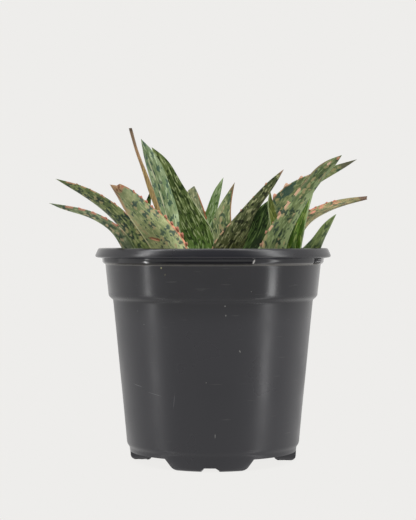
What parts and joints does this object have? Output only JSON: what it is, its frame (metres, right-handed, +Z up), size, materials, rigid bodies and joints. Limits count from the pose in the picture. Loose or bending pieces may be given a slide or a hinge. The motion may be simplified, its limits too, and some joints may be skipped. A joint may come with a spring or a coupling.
{
  "type": "potted aloe",
  "caption": "Clump of small spotted aloe rosettes with a dry flower stalk, growing in soil in a tapered plastic nursery pot with a rolled lip and raised feet.",
  "frame": {"origin": "on the pot's axis, in the plane that the pot's feet stand on; the middle of the bounding box's underside to within 0.2 mm", "axes": "+Z up along the pot's axis; -Y is the front of the pot; +X is to the right of somebody who looks at the front"},
  "size_m": [0.1628, 0.12, 0.1691],
  "materials": {
    "pot_plastic": "semi-matte black polypropylene, vacuum formed or thin injection moulded",
    "potting_soil": "loose dark peat and bark mix",
    "aloe_stem": "short fleshy stem with dry leaf bases",
    "aloe_leaf": "waxy, fleshy, green with pale spots and dark blotches, small toothed margins",
    "dry_stalk": "dry, tan brown"
  },
  "bodies": {
    "root": {"flower_stalk": "dry_stalk", "leaf_left_back": "aloe_leaf", "leaf_left_front": "aloe_leaf", "leaf_left_high": "aloe_leaf", "leaf_left_inner": "aloe_leaf", "leaf_left_low": "aloe_leaf", "leaf_left_rear": "aloe_leaf", "leaf_main_front": "aloe_leaf", "leaf_main_inner": "aloe_leaf", "leaf_main_low": "aloe_leaf", "leaf_main_rear": "aloe_leaf", "leaf_main_right": "aloe_leaf", "leaf_pup_back": "aloe_leaf", "leaf_pup_centre": "aloe_leaf", "leaf_pup_left": "aloe_leaf", "leaf_pup_rear": "aloe_leaf", "leaf_pup_right": "aloe_leaf", "leaf_pup_side": "aloe_leaf", "leaf_right_across": "aloe_leaf", "leaf_right_back": "aloe_leaf", "leaf_right_centre": "aloe_leaf", "leaf_right_front": "aloe_leaf", "leaf_right_inner": "aloe_leaf", "leaf_right_low": "aloe_leaf", "leaf_right_rear": "aloe_leaf", "leaf_right_recurved": "aloe_leaf", "leaf_right_short": "aloe_leaf", "leaf_right_side": "aloe_leaf", "leaf_right_tall": "aloe_leaf", "leaf_tall_front": "aloe_leaf", "leaf_tall_rear": "aloe_leaf", "pot": "pot_plastic", "soil": "potting_soil", "stem_left": "aloe_stem", "stem_main": "aloe_stem", "stem_pup": "aloe_stem", "stem_right": "aloe_stem"}
  },
  "joints": []
}
